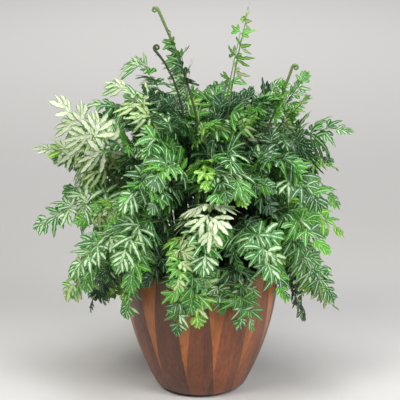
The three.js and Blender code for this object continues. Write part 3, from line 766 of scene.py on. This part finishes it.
for first in [frond for frond in fronds if not frond["mate"]]:
    own = [frond for frond in fronds if frond is first or frond["mate"] is first]
    # how many younger fronds share its foot: most in a tuft, also where it had room for one frond only
    if len(own) > 1:
        bushy = 6
    elif first["leaves"] == "forked":
        bushy = 5 if "fronds" in first["name"] else 3
    else:
        bushy = 3 if first["leaves"] == "short" else 0
    young = [younger(own[i % len(own)], i % 2 == 0 and first["leaves"] == "forked") for i in range(bushy)]
    points, places, faces, count = [], [], [], 0
    for frond in own + [one for one in young if one]:
        plate = Plate(frond)
        blade, start = frond["blade"], frond["start"]
        cells = SHADES.get(first["name"], CELLS[frond["tone"]])
        if frond not in own:
            cells = SHADED_DEEP_CELLS if frond["deep"] else CELLS[rng.choice(["green", "lime", "lime", "dark"])]
        stem_end = frond["lengths"][-1] if frond["coil"] else start + 0.78 * blade
        s = np.concatenate([
            np.linspace(2 if frond["mate"] or frond not in own else -STEM_DEPTH + 1, start, 16),
            np.linspace(start, stem_end, 40 if frond["coil"] else 12)[1:],
        ])
        # A stalk thins out upwards, but one with a coiled tip is thickest there.
        radius = np.interp(s, [0, start, stem_end], [1.1, 0.85, 0.42])
        if frond["coil"]:
            radius = np.interp(s, [0, start, frond["arch"], stem_end], [1.3, 1.5, 1.9, 1.2])
        dark = frond["tone"] in ("dark", "green") and frond["leaves"] != "small"
        plate.stalk(s, radius, STALK_CELL if dark else YOUNG_STALK_CELL)
        width = FINGER_WIDTHS[frond["leaves"]] * (min(1.0, blade / 100) ** 0.5)
        for at, reach, angle, fingers in HANDS[frond["leaves"]]:
            for way in (1, -1) if angle else (1,):
                plate.hand(
                    start + (at + 0.02 * way) * blade, 0, way, reach * blade * (1 + spread(0.08)),
                    angle, fingers, width, cells,
                )
        flat = np.concatenate(plate.points)
        points.append(stand(frond, on_blade(frond, flat[:, 0], flat[:, 1], flat[:, 2])) * MM)
        places.append(np.concatenate(plate.places))
        faces.append(np.concatenate(plate.faces) + count)
        count += plate.count
    mesh = bpy.data.meshes.new(first["name"] + "_leaf")
    mesh.from_pydata(np.concatenate(points).tolist(), [], np.concatenate(faces).tolist())
    layer = mesh.uv_layers.new(name="OFBake")
    corners = np.empty(len(mesh.loops), int)
    mesh.loops.foreach_get("vertex_index", corners)
    layer.data.foreach_set("uv", np.concatenate(places)[corners].ravel())
    mesh.polygons.foreach_set("use_smooth", [True] * len(mesh.polygons))
    mesh.materials.append(leaf)
    piece = bpy.data.objects.new(first["name"] + "_leaf", mesh)
    bpy.context.collection.objects.link(piece)
    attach(piece, "root")
    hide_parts(first["name"])

# The pot: turned from upright staves that are glued together. Light darts, wide at the rim and pointed
# towards the foot, stand between dark and reddish staves; where a dart has ended, a dark wedge opens below
# it. Satin varnish over fine grain.
DARTS = 13
FIRST_DART = 12.5  # degrees to the right of the front
FOOT_RADIUS = 39
HEEL_HEIGHT = 11  # of the round turn between the foot and the belly
HEEL_TURN = 1.2  # in radians
POT_SEGMENTS = 128
# tones of the staves, from the one right of the front
STAVES = "mmdmrdmrdmrdr"
WOODS = {"d": (0.110, 0.040, 0.020), "m": (0.230, 0.070, 0.027), "r": (0.165, 0.052, 0.022)}
BORDER = 0.012  # of a stave's width, over which one wood goes over into the next
STAVE_EDGE = (0.076, 0.034, 0.022)
DART_WOODS = ((0.33, 0.106, 0.028), (0.39, 0.126, 0.020))
WEDGE_WOOD = (0.060, 0.030, 0.021)
wood = bpy.data.materials.new("striped_wood")
wood.use_nodes = True
nodes, links = wood.node_tree.nodes, wood.node_tree.links
shader = nodes["Principled BSDF"]
where = nodes.new("ShaderNodeTexCoord")
split = nodes.new("ShaderNodeSeparateXYZ")
links.new(where.outputs["Object"], split.inputs[0])
height = math_node("DIVIDE", split.outputs["Z"], POT_HEIGHT * MM, clamp=True)
# The borders of the staves waver a little.
waver = math_node("SUBTRACT", noise_node(where.outputs["Object"], 14), 0.5)
angle = math_node("ARCTAN2", split.outputs["X"], math_node("MULTIPLY", split.outputs["Y"], -1.0))
angle = math_node("MULTIPLY_ADD", waver, 0.03, angle)
turns = math_node("MULTIPLY", math_node("SUBTRACT", angle, math.radians(FIRST_DART)), DARTS / (2 * math.pi))
turns = math_node("ADD", turns, DARTS)
nearest = math_node("ROUND", turns)
off = math_node("SUBTRACT", turns, nearest)
dart_draw = nodes.new("ShaderNodeTexWhiteNoise")
dart_draw.noise_dimensions = "1D"
links.new(math_node("WRAP", nearest, float(DARTS), 0.0), dart_draw.inputs["W"])
tip = math_node("MULTIPLY_ADD", dart_draw.outputs["Value"], 0.14, 0.15)
spread_out = math_node("MULTIPLY", math_node("SUBTRACT", height, tip), 0.40)
lean = math_node("MULTIPLY", math_node("SUBTRACT", dart_draw.outputs["Value"], 0.5), spread_out)
inside = math_node("SUBTRACT", math_node("ABSOLUTE", math_node("ADD", off, lean)), spread_out)
dart = ease_node(BORDER / 2, inside, BORDER)
below = math_node("MULTIPLY", math_node("SUBTRACT", math_node("SUBTRACT", tip, 0.02), height), 0.9)
wedge = math_node("SUBTRACT", math_node("ABSOLUTE", off), below)
wedge = ease_node(BORDER / 2, wedge, BORDER)
stave = math_node("DIVIDE", math_node("WRAP", math_node("FLOOR", turns), float(DARTS), 0.0), float(DARTS))
stave = math_node("ADD", stave, 0.004)
tone = ramp_node(stave, [(k / DARTS, WOODS[name]) for k, name in enumerate(STAVES)])
# Each stave is darker along its right edge.
shade = math_node("MULTIPLY", ease_node(math_node("FRACT", turns), 0.62, 0.03), 0.45)
tone = mix_node(shade, tone, STAVE_EDGE)
tone = mix_node(dart, tone, mix_node(dart_draw.outputs["Value"], *DART_WOODS))
tone = mix_node(math_node("MULTIPLY", wedge, 0.8), tone, WEDGE_WOOD)
# Grain and broader bands of the wood run upwards.
squeeze = nodes.new("ShaderNodeVectorMath")
squeeze.operation = "MULTIPLY"
squeeze.inputs[1].default_value = (1, 1, 0.035)
links.new(where.outputs["Object"], squeeze.inputs[0])
grain = noise_node(squeeze.outputs[0], 380, detail=5, roughness=0.65)
figure = noise_node(squeeze.outputs[0], 60)
streaks = ramp_node(grain, [(0.3, (0.70, 0.69, 0.68)), (0.7, (1.24, 1.23, 1.22))], "LINEAR")
bands = ramp_node(figure, [(0.35, (0.82, 0.80, 0.80)), (0.65, (1.12, 1.12, 1.12))], "LINEAR")
tone = mix_node(1, mix_node(1, tone, streaks, "MULTIPLY"), bands, "MULTIPLY")
links.new(tone, shader.inputs["Base Color"])
gloss = ramp_node(grain, [(0.3, (0.44, 0.44, 0.44)), (0.7, (0.34, 0.34, 0.34))], "LINEAR")
links.new(gloss, shader.inputs["Roughness"])
links.new(bump_node(grain, 0.12, 0.0004), shader.inputs["Normal"])

heel = pot_radius(HEEL_HEIGHT) - FOOT_RADIUS
outside = [(0, 0)]
for bend in np.linspace(0, HEEL_TURN, 7):
    out = heel * math.sin(bend) / math.sin(HEEL_TURN)
    up = HEEL_HEIGHT * (1 - math.cos(bend)) / (1 - math.cos(HEEL_TURN))
    outside.append((FOOT_RADIUS + out, up))
outside += [(pot_radius(z), z) for z in (17, 25, 35, 48, 62, 78, 94, 110, 126, 142, 156, 166)]
rim = [(101.4, 169.4), (100.6, 171.2), (98.8, 172), (96.2, 172), (94.2, 171.2), (93.2, 169.4)]
inside_wall = [(pot_radius(z) - WALL, z) for z in (164, 156, 140, 105, 60, 20)]
floor = [(48, 12.6), (40, 12), (0, 12)]
profile = np.array(outside + rim + inside_wall + floor, float)
round_ = np.linspace(0, 2 * math.pi, POT_SEGMENTS, endpoint=False)
points = np.stack([
    profile[:, 0, None] * np.cos(round_),
    profile[:, 0, None] * np.sin(round_),
    np.broadcast_to(profile[:, 1, None], (len(profile), POT_SEGMENTS)),
], axis=-1).reshape(-1, 3) * MM
faces = []
for i in range(len(profile) - 1):
    for j in range(POT_SEGMENTS):
        a, b = i * POT_SEGMENTS + j, i * POT_SEGMENTS + (j + 1) % POT_SEGMENTS
        faces.append((a, b, b + POT_SEGMENTS, a + POT_SEGMENTS))
mesh = bpy.data.meshes.new("wooden_pot")
mesh.from_pydata(points.tolist(), [], faces)
mesh.validate()
mesh.polygons.foreach_set("use_smooth", [True] * len(mesh.polygons))
mesh.materials.append(wood)
piece = bpy.data.objects.new("wooden_pot", mesh)
bpy.context.collection.objects.link(piece)
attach(piece, "root")
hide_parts("pot")

# The soil: dark peat with a crumbly top a little below the rim, on a plain body that fills the pot. The
# stalks stand in it.
SOIL_SEGMENTS = 140
WALL_GAP = 0.4
CRUMB = (0.10, 0.065, 0.042)
earth = bpy.data.materials.new("potting_soil")
earth.use_nodes = True
nodes, links = earth.node_tree.nodes, earth.node_tree.links
shader = nodes["Principled BSDF"]
crumbs = nodes.new("ShaderNodeTexVoronoi")
crumbs.inputs["Scale"].default_value = 260
where = nodes.new("ShaderNodeTexCoord")
links.new(where.outputs["Object"], crumbs.inputs["Vector"])
grit = noise_node(where.outputs["Object"], 90, detail=6)
peat = ramp_node(grit, [(0.35, (0.010, 0.006, 0.004)), (0.7, (0.050, 0.030, 0.019))], "LINEAR")
is_crumb = math_node("GREATER_THAN", crumbs.outputs["Distance"], 0.62)
links.new(mix_node(is_crumb, peat, CRUMB), shader.inputs["Base Color"])
shader.inputs["Roughness"].default_value = 0.95
links.new(bump_node(crumbs.outputs["Distance"], 0.8, 0.002), shader.inputs["Normal"])

soil_rng = np.random.default_rng(5)
edge = pot_radius(SOIL_TOP) - WALL - 0.3
radii = np.linspace(0.01, 1, 56) * (edge - 1)
round_ = np.linspace(0, 2 * math.pi, SOIL_SEGMENTS, endpoint=False)
x = radii[:, None] * np.cos(round_)
y = radii[:, None] * np.sin(round_)
lumps = np.zeros_like(x)
# how long and how high the lumps are, in four sizes
for size, swing in ((34, 0.9), (13, 0.7), (6, 0.6), (3.2, 0.5)):
    for _ in range(6):
        way, shift = soil_rng.uniform(0, 2 * math.pi, 2)
        lumps += swing / 2.4 * np.sin((x * math.cos(way) + y * math.sin(way)) * 2 * math.pi / size + shift)
z = SOIL_TOP - 1.4 + np.clip(lumps, -2, 2.2) * np.clip((1.02 - radii / edge) * 8, 0, 1)[:, None]
rows = [np.stack([x, y, z], axis=-1)]
body = [(edge, SOIL_TOP - 5)] + [(pot_radius(level) - WALL - WALL_GAP, level) for level in (105, 60, 20)]
for radius, level in body + [(40, 12.4), (0.02, 12.4)]:
    levels = np.full(SOIL_SEGMENTS, level)
    rows.append(np.stack([radius * np.cos(round_), radius * np.sin(round_), levels], axis=-1)[None])
rows = np.concatenate(rows)
i, j = np.meshgrid(np.arange(len(rows) - 1), np.arange(SOIL_SEGMENTS), indexing="ij")
a, b = i * SOIL_SEGMENTS + j, i * SOIL_SEGMENTS + (j + 1) % SOIL_SEGMENTS
faces = np.stack([a, a + SOIL_SEGMENTS, b + SOIL_SEGMENTS, b], axis=-1).reshape(-1, 4)
mesh = bpy.data.meshes.new("crumbly_soil")
mesh.from_pydata((rows.reshape(-1, 3) * MM).tolist(), [], faces.tolist())
mesh.polygons.foreach_set("use_smooth", [True] * len(mesh.polygons))
mesh.materials.append(earth)
piece = bpy.data.objects.new("crumbly_soil", mesh)
bpy.context.collection.objects.link(piece)
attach(piece, "root")
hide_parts("potting_soil")
